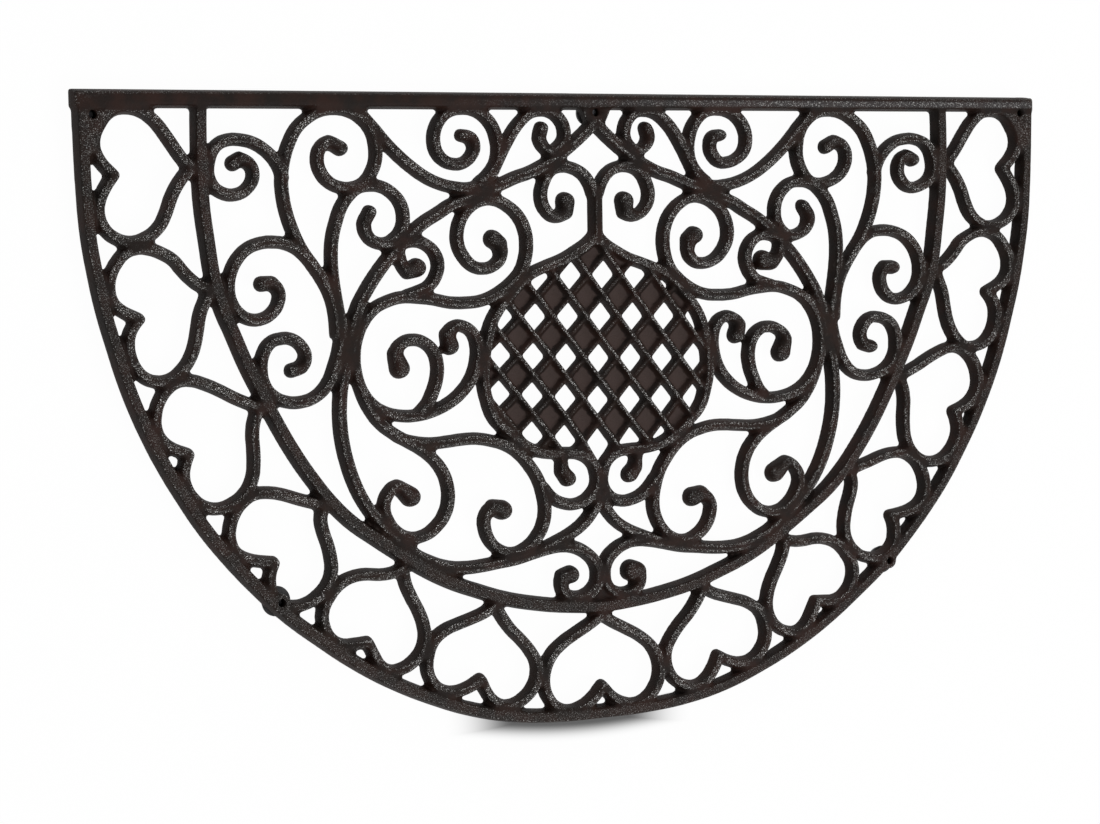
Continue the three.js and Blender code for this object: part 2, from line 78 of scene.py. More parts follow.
camera_data = bpy.data.cameras.new("camera")
camera_data.lens = FOCAL_LENGTH_MM
camera_data.sensor_width = SENSOR_WIDTH_MM
camera = add_object("camera", camera_data)
camera.location = CAMERA_PLACE
camera.rotation_euler = [math.radians(turn) for turn in CAMERA_TURN_DEGREES]
bpy.context.scene.camera = camera
bpy.context.scene.view_settings.view_transform = "Standard"
print("camera", FOCAL_LENGTH_MM, "mm at", tuple(CAMERA_PLACE))

# %% [markdown]
# ## The studio
# A plain white sweep shows nothing but a faint shadow. The floor's own colour is seen by the
# camera and by glossy rays as a mix of plain white and of what the lamps make of it, so that the
# white stays white and the shadow stays soft. Below the lowest part of the rim less white is
# mixed in and the floor's colour is painted dark as well: a painted shadow, deeper there than the
# lamps make it.
# Light that bounces off the floor is held back, because it would lift the dark flanks of the bars.
# A broad lamp from the right front gives the iron its light. A lower one from behind draws the
# back edges of the crests and part of the shadow in front of the mat, which the painted shadow on
# the floor deepens. A weak one from the left and the world fill in.

# %% Helper: shader nodes
def add_math(tree, operation, first, second):
    node = tree.nodes.new("ShaderNodeMath")
    node.operation = operation
    for socket, value in zip(node.inputs, (first, second)):
        if isinstance(value, (int, float)):
            socket.default_value = value
        else:
            tree.links.new(value, socket)
    return node.outputs[0]


def multiply(tree, first, second):
    return add_math(tree, "MULTIPLY", first, second)


def larger(tree, first, second):
    return add_math(tree, "MAXIMUM", first, second)


def add_range(tree, value, low, high, to_low=0.0, to_high=1.0):
    """Maps the value from low..high to to_low..to_high, with soft ends."""
    node = tree.nodes.new("ShaderNodeMapRange")
    node.interpolation_type = "SMOOTHSTEP"
    limits = (("From Min", low), ("From Max", high), ("To Min", to_low), ("To Max", to_high))
    for label, number in limits:
        node.inputs[label].default_value = number
    tree.links.new(value, node.inputs["Value"])
    return node.outputs["Result"]


def mix_colours(tree, share, first, second):
    node = tree.nodes.new("ShaderNodeMix")
    node.data_type = "RGBA"
    tree.links.new(share, node.inputs["Factor"])
    for socket, value in ((node.inputs["A"], first), (node.inputs["B"], second)):
        if isinstance(value, tuple):
            socket.default_value = (*value, 1)
        else:
            tree.links.new(value, socket)
    return node.outputs["Result"]


# %% Floor, world and lamps
FLOOR_SIZE = 6
FLOOR_ROUGHNESS = 0.9
FLOOR_WHITE_SHARE = 0.975
FLOOR_COLOUR = (0.9, 0.9, 0.9)
# Painted shadow: the floor's colour in the core of the shadow below the rim
PAINTED_FLOOR_SHADOW = (0.16, 0.16, 0.16)
FLOOR_BOUNCE = (0.25, 0.25, 0.25)
# The lowest part of the rim lies on this circle; from it the painted shadow on the floor fades
# outwards and inwards
RIM_CIRCLE_MIDDLE = (0, 0.2495, 0)
RIM_CIRCLE_RADIUS = 0.469
SHADOW_OUTWARDS = (0.003, 0.017)
SHADOW_INWARDS = (-0.009, -0.003)
# Where the painted shadow lies across the mat, and how far from there it begins and stops to fade
SHADOW_MIDDLE = -0.02
SHADOW_ENDS = (0.045, 0.1)
# The circle's other half, behind the mat, gets no painted shadow
SHADOW_BEHIND = (-0.15, -0.1)
WORLD_STRENGTH = 0.3
# Each lamp: name, place, the place it points at, size and power in watts
LAMPS = (
    ("key_lamp", (1.6, -1.6, 3.2), (0, 0, 0), (2.8, 2.0), 98),
    ("back_lamp", (0.5, 1.8, 1.0), (0.1, 0, 0), (1.4, 0.5), 15),
    ("fill_lamp", (-1.6, -0.4, 1.3), (0, 0, 0), (1.0, 1.4), 5),
)


def place_floor():
    bpy.ops.object.select_all(action="DESELECT")
    bpy.ops.mesh.primitive_plane_add(size=FLOOR_SIZE, location=(0, 0, 0))
    floor = bpy.context.object
    floor.name = "floor"
    material = bpy.data.materials.new("floor_white")
    material.use_nodes = True
    tree = material.node_tree
    nodes, links = tree.nodes, tree.links
    shader = nodes["Principled BSDF"]
    shader.inputs["Roughness"].default_value = FLOOR_ROUGHNESS
    shader.inputs["Specular IOR Level"].default_value = 0
    white = nodes.new("ShaderNodeEmission")
    white.inputs["Color"].default_value = (1, 1, 1, 1)
    path = nodes.new("ShaderNodeLightPath")
    place_node = nodes.new("ShaderNodeTexCoord")
    from_middle = nodes.new("ShaderNodeVectorMath")
    from_middle.operation = "DISTANCE"
    from_middle.inputs[1].default_value = RIM_CIRCLE_MIDDLE
    links.new(place_node.outputs["Object"], from_middle.inputs[0])
    outside = add_math(tree, "SUBTRACT", from_middle.outputs["Value"], RIM_CIRCLE_RADIUS)
    split = nodes.new("ShaderNodeSeparateXYZ")
    links.new(place_node.outputs["Object"], split.inputs[0])
    across = add_math(tree, "SUBTRACT", split.outputs["X"], SHADOW_MIDDLE)
    across = add_math(tree, "ABSOLUTE", across, 0)
    # Painted shadow mask: 1 away from the rim, 0 in its core below the rim
    painted_shadow_fade = add_range(tree, outside, *SHADOW_OUTWARDS)
    painted_shadow_fade = larger(tree, painted_shadow_fade, add_range(tree, outside, *SHADOW_INWARDS, 1, 0))
    painted_shadow_fade = larger(tree, painted_shadow_fade, add_range(tree, across, *SHADOW_ENDS))
    painted_shadow_fade = larger(tree, painted_shadow_fade, add_range(tree, split.outputs["Y"], *SHADOW_BEHIND))
    seen = larger(tree, path.outputs["Is Camera Ray"], path.outputs["Is Glossy Ray"])
    share = multiply(tree, seen, multiply(tree, painted_shadow_fade, FLOOR_WHITE_SHARE))
    # Painted shadow: towards the rim the floor's colour turns dark
    colour = mix_colours(tree, painted_shadow_fade, PAINTED_FLOOR_SHADOW, FLOOR_COLOUR)
    colour = mix_colours(tree, path.outputs["Is Diffuse Ray"], colour, FLOOR_BOUNCE)
    links.new(colour, shader.inputs["Base Color"])
    mix = nodes.new("ShaderNodeMixShader")
    links.new(share, mix.inputs["Fac"])
    links.new(shader.outputs[0], mix.inputs[1])
    links.new(white.outputs[0], mix.inputs[2])
    links.new(mix.outputs[0], nodes["Material Output"].inputs["Surface"])
    floor.data.materials.append(material)


def set_world():
    world = bpy.data.worlds.new("studio_white")
    bpy.context.scene.world = world
    world.use_nodes = True
    tree = world.node_tree
    backdrop = tree.nodes["Background"]
    backdrop.inputs["Color"].default_value = (1, 1, 1, 1)
    path = tree.nodes.new("ShaderNodeLightPath")
    seen = larger(tree, path.outputs["Is Camera Ray"], path.outputs["Is Transmission Ray"])
    strength = add_range(tree, seen, 0, 1, WORLD_STRENGTH, 1)
    tree.links.new(strength, backdrop.inputs["Strength"])


def add_lamp(name, place, target, size, power):
    data = bpy.data.lights.new(name, "AREA")
    data.shape = "RECTANGLE"
    data.size, data.size_y = size
    data.energy = power
    lamp = add_object(name, data)
    lamp.location = place
    lamp.rotation_euler = (Vector(target) - Vector(place)).to_track_quat("-Z", "Y").to_euler()


place_floor()
set_world()
for lamp_values in LAMPS:
    add_lamp(*lamp_values)
print("floor, world and", len(LAMPS), "lamps are in place")

# %% [markdown]
# ## The pattern
# The maker of a casting like this carves or draws half of the pattern and mirrors it. The lines
# below are the middles of the bars, as [out, down] in millimetres: how far out from the centre
# line, and how far down from the line through the three holes of the straight bar. The few
# places where the halves differ in the photograph are set apart.

# %% Lines of the pattern
RIM = [
    [369, -7.5], [368.5, 20], [367.5, 51], [365.5, 79.5], [361.5, 105], [357, 127], [350.5, 150.5],
    [344, 172], [336, 193.5], [328, 211.5], [317.5, 232], [306.5, 250.5], [293.5, 270.5],
    [277.5, 291], [259, 311.5], [238, 332], [212.5, 352], [185.5, 371], [158.5, 386.5],
    [130, 399.5], [101, 410], [70, 417], [35, 420.5], [0, 421],
]

ARCH = [
    [290, -4], [290.5, 14.5], [290.5, 35], [289.5, 60], [286.5, 85], [283, 108.5], [277.5, 128],
    [270, 145.5], [261.5, 165.5], [252, 184.5], [242, 203.5], [229.5, 225], [216, 244.5],
    [202.5, 261], [188.5, 274.5], [172.5, 286], [155.5, 297.5], [136, 310], [115.5, 320.5],
    [94.5, 328.5], [75, 335], [50, 340.5], [25, 344], [0, 345.5],
]

RING = [
    [0, 7], [5.5, 12], [13, 18.5], [22, 25.5], [31.5, 32], [41, 37], [51, 41.5], [61, 44.5],
    [71, 48.5], [80.5, 52], [90.5, 55.5], [100.5, 59.5], [111, 63], [120.5, 68.5], [130.5, 74],
    [140, 81], [149.5, 90], [158.5, 98.5], [167, 108.5], [174.5, 119], [181, 130],
    [185.5, 142.5], [188.5, 155], [191, 168], [194, 181.5], [195.5, 194.5], [195.5, 208],
    [194, 221], [191, 234], [187, 246], [180.5, 259.5], [172.5, 271], [162.5, 281], [153, 290],
    [143, 299], [131, 305.5], [118, 310], [105, 311.5], [92, 311], [79, 309.5], [66, 308],
    [53, 305], [41, 302.5], [30, 301.5], [20, 303], [11, 307.5], [4.5, 314.5], [2.5, 323],
    [4.5, 331], [11.5, 337], [20, 338.5], [28, 335], [31.2, 328.8], [29.8, 323], [24, 321.5],
]

HEARTS = [
    [
      [[297, 37], [304.5, 27.5], [312.5, 16], [320, 6.5], [329, 0], [339, -2], [348.5, 0],
        [356.5, 8.5], [361, 20.5], [358, 30.5], [348.5, 41]],
      [[297, 37], [304.5, 46], [310, 55.5], [314, 66], [319.5, 75.5], [328, 81.5], [337.5, 84],
        [348.5, 81], [356, 74], [359, 66], [358.5, 58.5], [354.5, 49.5], [348.5, 41]],
    ],
    [
      [[286, 115.5], [292, 113], [297.5, 109], [304, 102.5], [309.5, 96], [317, 91.5],
        [325.5, 88.5], [334, 88], [342, 91], [348.5, 98], [352.5, 106], [353.5, 114],
        [351.5, 121.5], [346.5, 127], [334, 133.5]],
      [[286, 115.5], [289, 123], [292.5, 131.5], [294.5, 141.5], [296.5, 151], [300, 160],
        [306, 168], [314, 173.5], [322.5, 174.5], [331, 171.5], [337, 165], [340.5, 157],
        [341.5, 149.5], [340.5, 143], [337.5, 137.5], [334, 133.5]],
    ],
    [
      [[253, 194.5], [260, 191.5], [270, 187], [279.5, 182], [289.5, 177.5], [299.5, 174.5],
        [308.5, 175], [316, 179.5], [321.5, 186.5], [324.5, 195.5], [324.5, 204.5],
        [320.5, 212.5], [313, 218.5], [303, 222.5]],
      [[253, 194.5], [256.5, 202], [258, 211.5], [257.5, 221.5], [257.5, 231], [259, 241],
        [264, 250], [272.5, 256.5], [282.5, 259.5], [292.5, 257.5], [299.5, 252], [304.5, 244.5],
        [306.5, 237], [305.5, 229], [303, 222.5]],
    ],
    [
      [[208.5, 262], [216.5, 259.5], [226.5, 256.5], [237, 253], [247.5, 251], [257.5, 251.5],
        [266, 256], [272, 263], [275.5, 272.5], [275.5, 281], [271.5, 289], [263.5, 294],
        [253.5, 296.5], [245.5, 297.5]],
      [[208.5, 262], [211, 270], [209.5, 279], [206.5, 288], [204.5, 297], [204, 305.5],
        [207, 314.5], [214, 322], [223, 327], [232, 328], [240.5, 325], [247, 318],
        [248.5, 310.5], [248, 304], [245.5, 297.5]],
    ],
    [
      [[152, 308.5], [160, 311], [169, 311.5], [178.5, 310.5], [189, 311.5], [198.5, 315.5],
        [206, 323], [211, 332.5], [210.5, 342.5], [205.5, 351.5], [197.5, 356.7], [188, 357.2],
        [179, 356.5]],
      [[152, 308.5], [150.5, 317.5], [146, 328], [141, 337.5], [137.5, 347], [136.5, 357],
        [139.5, 366], [145.5, 372.5], [154, 377], [163, 377.5], [170, 372.7], [175, 364.6],
        [179, 356.5]],
    ],
    [
      [[83, 338.5], [91.5, 343.5], [101.5, 347], [112, 350], [122, 353.5], [130.5, 360],
        [134.5, 369.5], [135, 380], [130.5, 389], [124, 394.5], [115, 396.5], [105, 394.5],
        [95, 389.5]],
      [[83, 338.5], [77, 348.5], [70.5, 357], [63, 364.5], [56.5, 372.5], [52, 381],
        [51.5, 390], [55, 399], [61.5, 405.5], [70, 409.5], [78, 409.5], [85.5, 405], [91, 398],
        [95, 389.5]],
    ],
    [
      [[0, 352], [10.5, 358.5], [21, 364], [31.5, 370], [40.5, 378], [45.5, 388.5], [46, 398.5],
        [42.5, 407.5], [36, 414.5], [27, 418], [17.5, 416.5], [8, 411], [0, 402.5]],
    ],
]

SCROLLS = {
    "corner_volute": [
      [232.5, 45], [235, 37], [239.5, 30], [245.5, 24.5], [252.5, 20.5], [261, 18.5], [270, 18.5],
      [278.5, 22.5], [284, 32.5], [283.5, 45], [276, 52.5], [264.5, 54], [256.5, 49],
      [253.5, 41], [256.5, 33.5], [262.5, 31], [268, 34],
    ],
    "hanging_scroll": [
      [191, 24], [199, 20], [206, 24.5], [208, 32], [206, 39.5], [200.5, 46], [192, 50],
      [183, 50.5], [175, 47.5], [169.5, 41], [166, 32], [166, 22.5], [168.5, 13], [175.5, 4.5],
      [184.5, -0.5], [194.5, -2], [205, -0.5], [214.5, 4.5], [222.5, 11.5], [227.5, 20],
      [231.5, 31], [233.5, 42.5], [233, 55], [231, 65.5], [227, 77.5], [221, 90],
      [213.5, 100.5], [206.5, 110.5], [201, 121], [198, 132], [196.5, 150],
    ],
    "s_scroll": [
      [171.5, 67.5], [175.5, 74.5], [173, 82.5], [167, 87], [160, 88], [153.5, 85], [148, 78.5],
      [146.5, 70], [148.5, 61.5], [154, 54.5], [161.5, 50], [170, 49], [178.5, 50.5],
      [185.5, 55.5], [191.5, 63], [195.5, 73], [198.5, 84], [199.5, 96.5], [199, 108],
      [197.5, 119.5], [195.5, 131.5], [193.5, 144.5], [195.5, 158.5], [199, 169.5],
      [204, 180.5], [212, 188.5], [222, 192], [233, 191.5], [242.5, 187], [249, 179],
      [251, 169.5], [249.5, 159.5], [244, 152], [236.5, 149.5], [228.5, 150], [222, 155],
      [219.5, 162.5], [222.5, 169], [230, 171.5],
    ],
    "side_volute": [
      [214, 99.5], [222, 91.5], [231, 87], [241, 85.5], [250.5, 86.5], [259, 90], [266, 96.5],
      [270.5, 104.5], [272.5, 114], [271, 123.5], [266, 131], [258, 136], [249, 136],
      [242, 132], [238, 125.5], [237.5, 118], [242, 112.5], [249.5, 112.5],
    ],
    "bowl_scroll": [
      [180, -4], [175, 2.5], [167, 11], [159.5, 19.5], [149.5, 29], [139.5, 37], [129.5, 43.5],
      [118, 48.5], [106.5, 51], [96, 51.5], [87, 48.5], [80.5, 42.5], [76.5, 35.5], [72.5, 28],
      [67.5, 19.5], [62.5, 12], [56.5, 5.5], [49.5, 0.5], [41.5, -1.5], [34, -0.5], [27.5, 4],
      [24, 10.5], [24, 18], [28, 23.5], [34, 26.5], [40, 23.5], [43, 18], [42, 11.5],
    ],
    "top_volute": [
      [101.5, 15.5], [95.5, 17], [93, 23.5], [95.5, 30], [101, 34.5], [108.5, 35], [115.5, 32.5],
      [121, 27], [123, 20], [122, 12], [117.5, 4.5], [110.5, -0.5], [101.5, -2.5],
      [92.5, -1.5], [85, 2.5], [79, 9.5], [76, 17.5], [75, 26], [77, 35], [82.5, 42.5],
      [90, 48.5],
    ],
    "crown_scroll": [
      [1.5, 57], [4, 50], [9.5, 42.5], [18, 38], [27.5, 37.5], [35.5, 41], [40.5, 48.5],
      [42.5, 58], [39, 67], [31, 72], [23.5, 69], [25, 61.5],
    ],
    "shoulder_volute": [
      [67, 117.5], [59.5, 110], [55.5, 101], [54, 90], [55.5, 80], [60.5, 70.5], [68.5, 63.5],
      [78, 59.5], [87.5, 60], [96, 64], [103, 71], [106.5, 80], [106.5, 89], [102.5, 97.5],
      [95, 104.5], [86.5, 106.5], [79, 104.5], [74, 98], [75, 89.5], [82, 86],
    ],
    "link_loop": [
      [150, 89.5], [144, 87.5], [136.5, 87], [129.5, 89.5], [124, 95], [121.5, 103],
      [123.5, 111], [128.5, 117.5], [136.5, 121], [145, 123.5],
    ],
    "link_hook": [[151.5, 91], [150, 97], [148, 103], [143.5, 107], [138, 106]],
    "oval_scroll": [
      [61.5, 113.5], [69, 119], [79, 125], [89, 128.5], [100, 129.5], [112.5, 129],
      [124.5, 126.5], [136.5, 125], [148.5, 124.5], [159, 127], [169.5, 132], [177.5, 140.5],
      [182.5, 151], [184.5, 163], [183.5, 174.5], [179.5, 186], [172, 195.5], [162.5, 201.5],
      [151.5, 204.5], [139.5, 205], [126.5, 202.5], [115, 197.5], [105.5, 190.5], [98, 181],
      [94, 169.5], [93.5, 158.5], [97, 149.5], [103, 145.5], [110, 145.5], [115.5, 151],
      [114.5, 158],
    ],
    "oval_volute": [
      [138, 204], [131.5, 197.5], [127, 189], [124, 180], [123.5, 170], [126.5, 161],
      [133.5, 155], [140.5, 153.5], [148, 155], [154.5, 162.5], [152, 172.5],
    ],
    "lower_volute": [
      [181.5, 181.5], [178, 191], [172.5, 201], [166, 209], [157.5, 215.5], [147.5, 221.5],
      [137, 227.5], [128, 234.5], [121, 243.5], [117.5, 253.5], [117, 263.5], [120, 273.5],
      [127, 282], [136.5, 287.5], [147.5, 287.5], [156, 282.5], [162, 275], [165, 265.5],
      [162, 257], [154.5, 252], [146, 258],
    ],
    "under_scroll": [
      [159, 214.5], [150.5, 220], [140.5, 223], [129, 224.5], [117, 224], [105, 223], [94, 223],
      [83, 225], [71, 229], [61.5, 235.5], [54, 244], [48, 253.5], [44.5, 264], [43, 275],
      [45, 285.5], [50.5, 294.5], [58.5, 301], [68.5, 304], [78, 301], [85.5, 294.5],
      [89.5, 286], [89.5, 277], [83, 271], [76, 273.5],
    ],
    "medallion_frame": [
      [0, 84.5], [6.5, 90.5], [15.5, 96], [26, 101.5], [37.5, 105.5], [49, 110], [59.5, 116.5],
      [68, 125], [76.5, 134.5], [83, 145.5], [86.5, 158], [88.5, 171], [89, 184],
      [86.5, 196.5], [81.5, 209], [71.5, 219], [60.5, 227.5], [49.5, 233.5], [37.5, 236],
      [25.5, 236.5], [14.5, 238], [6, 243.5], [2.5, 251.5], [2.5, 260], [7.5, 267.5],
      [17, 272.5], [28.5, 271.5], [38, 266], [45, 258],
    ],
    "frame_hook": [[31, 236], [29.5, 243], [29, 249], [23.5, 254]],
    "lower_gable": [
      [0, 264], [2, 271.5], [7.5, 280.5], [15, 288], [25, 294], [35.5, 298.5], [47, 303],
    ],
}

EYES = [
    [267, 33.8, 5.6], [191.3, 24.2, 5.6], [171, 66.8, 5.1], [229.2, 170.8, 5.3],
    [249, 113, 5.6], [102, 15.7, 4.8], [41, 10.8, 5.1], [23.7, 322, 6.8], [137.2, 104.8, 7],
    [113.4, 158.6, 6.6], [151.1, 172.4, 7.4], [144.9, 259.8, 7.4], [75.7, 273.3, 7.3],
    [24.6, 254.2, 6.3], [79.6, 86.4, 6.8], [23.3, 61.5, 7.1],
]
# Eyes that are larger on one side: side, place and radius
FULLER_EYES = [(1, 24.6, 322.4, 8), (1, 136.8, 105.4, 7.6)]

SPINE = [[0, 52], [0, 92]]

print(len(HEARTS), "hearts and", len(SCROLLS), "scrolls on each side")

# %% [markdown]
# ## Bars
# Every bar has a flat underside, sides that lean in and a rounded crest: the draft that lets a
# pattern leave the sand. A curve with a bevel profile does just that: the profile is drawn once,
# and runs along every line of its kind. Automatic Bezier handles give the lines an even flow.

# %% Bars swept along the lines
HOLE_LINE = BACK_EDGE - 13 * MM
SIDES = (1, -1)
# Each profile: width at the underside, width of the crest, and height
RIM_PROFILE = (10.6, 6.6, 11)
ARCH_PROFILE = (11, 7, 11)
RING_PROFILE = (10, 6, 10.5)
SCROLL_PROFILE = (9.2, 5.2, 10.5)
CREST_HOLLOW = 0.6
RIM_LEFT_OUT = 0.45
CURVE_STEPS = 5
# Where the side of a bar bends, as a share of its height, and how much of its draft it has there
LOW_BEND, LOW_DRAFT = 0.35, 0.12
HIGH_BEND, HIGH_DRAFT = 0.82, 0.07
# The rounding of its crest: the shoulder's share of the height, and how far in both points lie
SHOULDER, SHOULDER_IN, TOP_IN = 0.93, 0.05, 0.8


def place(point, side=1, height=0.0):
    out, down = point
    return Vector((side * out * MM, HOLE_LINE - down * MM, UNDERSIDE + height * MM))


def half_section(width, crest, height):
    """Half of a bar's section as [half width, height], from the underside up to its crest."""
    return [
        (width / 2, 0),
        (width / 2 - (width - crest) * LOW_DRAFT, height * LOW_BEND),
        (crest / 2 + (width - crest) * HIGH_DRAFT, height * HIGH_BEND),
        (crest / 2 - SHOULDER_IN, height * SHOULDER),
        (crest / 2 - TOP_IN, height),
    ]


def profile_curve(name, width, crest, height):
    right = half_section(width, crest, height)
    outline = right + [(0, height - CREST_HOLLOW)] + [(-x, y) for x, y in reversed(right)]
    data = bpy.data.curves.new(name, "CURVE")
    data.dimensions = "2D"
    spline = data.splines.new("POLY")
    spline.points.add(len(outline) - 1)
    for point, (x, y) in zip(spline.points, outline):
        point.co = (x * MM, y * MM, 0, 1)
    spline.use_cyclic_u = True
    return add_object(name, data)


def select_only(thing):
    bpy.ops.object.select_all(action="DESELECT")
    thing.select_set(True)
    bpy.context.view_layer.objects.active = thing


def apply(thing, kind, **settings):
    """Adds a modifier with its settings and applies it."""
    select_only(thing)
    modifier = thing.modifiers.new(kind.lower(), kind)
    for name, value in settings.items():
        setattr(modifier, name, value)
    bpy.ops.object.modifier_apply(modifier=modifier.name)


def cut(target, tool, solver):
    apply(target, "BOOLEAN", operation="DIFFERENCE", object=tool, solver=solver)
    bpy.data.objects.remove(tool)
    return target


def to_mesh(thing):
    select_only(thing)
    bpy.ops.object.convert(target="MESH")
    return bpy.context.object


def swept_bars(name, lines, profile_size):
    """All bars of one kind as one mesh; each line is a list of places."""
    profile = profile_curve(name + "_profile", *profile_size)
    data = bpy.data.curves.new(name, "CURVE")
    data.dimensions = "3D"
    data.twist_mode = "Z_UP"
    data.bevel_mode = "OBJECT"
    data.bevel_object = profile
    data.use_fill_caps = True
    data.resolution_u = CURVE_STEPS
    for line in lines:
        spline = data.splines.new("BEZIER")
        spline.bezier_points.add(len(line) - 1)
        for knot, here in zip(spline.bezier_points, line):
            knot.co = here
            knot.handle_left_type = knot.handle_right_type = "AUTO"
    bars = to_mesh(add_object(name, data))
    bpy.data.objects.remove(profile)
    print(name, len(lines), "lines,", len(bars.data.polygons), "faces")
    return bars


def mirrored(lines):
    return [[place(point, side) for point in line] for line in lines for side in SIDES]


def spanning(line, left_out=0.0):
    """A line that crosses the middle, from its right half; its left half may lie further out."""
    widest = line[0][0]
    left = [(out + left_out * out / widest, down) for out, down in line[:-1]]
    return [place(point) for point in line] + [place(point, -1) for point in reversed(left)]


castings = [
    swept_bars("rim", [spanning(RIM, RIM_LEFT_OUT)], RIM_PROFILE),
    swept_bars("arch", [spanning(ARCH)], ARCH_PROFILE),
    swept_bars("ring", mirrored([RING, SPINE]), RING_PROFILE),
    swept_bars("hearts", mirrored([side for heart in HEARTS for side in heart]), SCROLL_PROFILE),
    swept_bars("scrolls", mirrored(SCROLLS.values()), SCROLL_PROFILE),
]

# %% [markdown]
# ## Eyes, webs and the lattice
# The volutes end in a rounded eye, flat webs carry the holes, and the medallion is a lattice whose
# cells are open and closed by turns. All of these are outlines stacked one above the other, so one
# helper that closes a stack of rings makes them all.

# %% Helper: solids from stacked rings
def stacked(name, solids):
    """One mesh of solids; each is a stack of rings with the same number of points."""
    vertices, faces = [], []
    for rings in solids:
        first, count = len(vertices), len(rings[0])
        top = first + (len(rings) - 1) * count
        for ring in rings:
            vertices += ring
        faces.append([first + i for i in reversed(range(count))])
        faces.append([top + i for i in range(count)])
        for low in range(first, top, count):
            for i in range(count):
                j = (i + 1) % count
                faces.append([low + i, low + j, low + count + j, low + count + i])
    mesh = bpy.data.meshes.new(name)
    mesh.from_pydata(vertices, [], faces)
    thing = add_object(name, mesh)
    select_only(thing)
    bpy.ops.object.mode_set(mode="EDIT")
    bpy.ops.mesh.select_all(action="SELECT")
    bpy.ops.mesh.normals_make_consistent(inside=False)
    bpy.ops.object.mode_set(mode="OBJECT")
    print(name, len(solids), "solids,", len(mesh.polygons), "faces")
    return thing


def circle(point, side, radius, height, count=20):
    out, down = point
    turns = [2 * math.pi * i / count for i in range(count)]
    points = [(out + radius * math.cos(t), down + radius * math.sin(t)) for t in turns]
    return [place(point, side, height) for point in points]


# %% Eyes, clefts, the straight bar with its corners, and webs round the holes
WEB_HEIGHT = 10.9
CORNER_WEB = [
    [372, -12], [338, -8], [342, -1], [350, 2], [357, 10], [361, 22], [366, 30], [370, 10],
]
MIDDLE_WEB = [[-1, -8], [14, -8], [9, 3], [6, 9], [-1, 5]]
MIDDLE_WEB_HEIGHT = 8.5
LOW_WEB = [[-1, 331], [4, 335], [9, 342], [-1, 344]]
LOW_WEB_HEIGHT = 6
HOLES = {
    "back_left": (-363, 2.5),
    "back_middle": (-0.5, 0),
    "back_right": (361, -0.5),
    "front_left": (-242.5, 324),
    "front_right": (240.5, 330.5),
}
HOLE_RADIUS = 2.9
DISC_RADIUS = 6
# An eye is a low dome: how far its side has come in, and at what share of its height
EYE_HEIGHT = 10.8
EYE_DOME = [(0, 0), (0.4, 0.35), (1.2, 0.65), (2.4, 0.86), (3.8, 0.97), (5.2, 1)]
EYE_TOP = 0.4
NECK_LENGTH = 13
NECK_STEP = 1.2
NECK_SWELL = 0.8
# The straight bar tapers a little: line, width and crest at its left and at its right end
STRAIGHT_ENDS = ((-376.2, -7.9, 12.6, 9), (374.8, -7.1, 11.4, 7.4))
STRAIGHT_HEIGHT = 11
CORNER_SIZE = 11
# Side, how far out and how far down the corner lies, and its radius
CORNERS = ((-1, 376.2, -13.8, 1.6), (1, 375, -13, 4.5))
CORNER_TURNS = [math.radians(turn) for turn in range(0, 91, 15)]


def dome(middle, side, radius):
    levels = [(max(radius - inset, EYE_TOP), share * EYE_HEIGHT) for inset, share in EYE_DOME]
    return [circle(middle, side, r, z) for r, z in levels]


def neck(middle, side, radius):
    """Domes that grow along the end of the stroke, so that the bar swells into its eye."""
    strokes = [RING, *SCROLLS.values()]
    ends = [line for stroke in strokes for line in (stroke, stroke[::-1])]
    line = min(ends, key=lambda stroke: math.dist(stroke[-1], middle))
    half_bar = SCROLL_PROFILE[0] / 2
    made, gone, here = [], 0.0, Vector(middle)
    for knot in reversed(line[:-1]):
        there = Vector(knot)
        steps = max(1, round((there - here).length / NECK_STEP))
        for i in range(1, steps + 1):
            share = (gone + (there - here).length * i / steps) / NECK_LENGTH
            if share >= 1:
                return made
            grown = half_bar + (radius - half_bar) * (1 - share) ** NECK_SWELL
            made.append(dome(here.lerp(there, i / steps), side, grown))
        gone += (there - here).length
        here = there
    return made


def eyes():
    """Domes at the ends of the volutes, and round ends of the bars in the hearts' clefts."""
    places = [(side, *eye) for eye in EYES for side in SIDES] + FULLER_EYES
    section = half_section(*SCROLL_PROFILE)
    solids = []
    for side, out, down, radius in places:
        solids.append(dome((out, down), side, radius))
        solids += neck((out, down), side, radius)
    for heart in HEARTS:
        for side in SIDES:
            solids.append([circle(heart[0][-1], side, half, z) for half, z in section])
    return stacked("eyes", solids)


def straight_bar():
    """Both ends of the bar have their own section, and its sides run straight between them."""
    sections = [half_section(width, crest, STRAIGHT_HEIGHT) for _, _, width, crest in STRAIGHT_ENDS]
    (left, left_line, *_), (right, right_line, *_) = STRAIGHT_ENDS
    rings = []
    for (half_left, z), (half_right, _) in zip(*sections):
        draft = sections[0][0][0] - half_left
        rings.append([
            place((left + draft, left_line + half_left), 1, z),
            place((right - draft, right_line + half_right), 1, z),
            place((right - draft, right_line - half_right), 1, z),
            place((left + draft, left_line - half_left), 1, z),
        ])
    return stacked("straight_bar", [rings])


def corner_posts():
    """The corners of the mat, rounded in plan and drafted like the rim."""
    section = half_section(*RIM_PROFILE)
    solids = []
    for side, corner_out, corner_down, radius in CORNERS:
        rings = []
        for half, z in section:
            draft = section[0][0] - half
            out, down = corner_out - draft, corner_down + draft
            turn_out, turn_down = out - radius, down + radius
            ring = [
                (turn_out + radius * math.sin(t), turn_down - radius * math.cos(t))
                for t in CORNER_TURNS
            ]
            inner_out, inner_down = corner_out - CORNER_SIZE, corner_down + CORNER_SIZE
            ring += [(out, inner_down), (inner_out, inner_down), (inner_out, down)]
            rings.append([place(p, side, z) for p in ring])
        solids.append(rings)
    return stacked("corner_posts", solids)


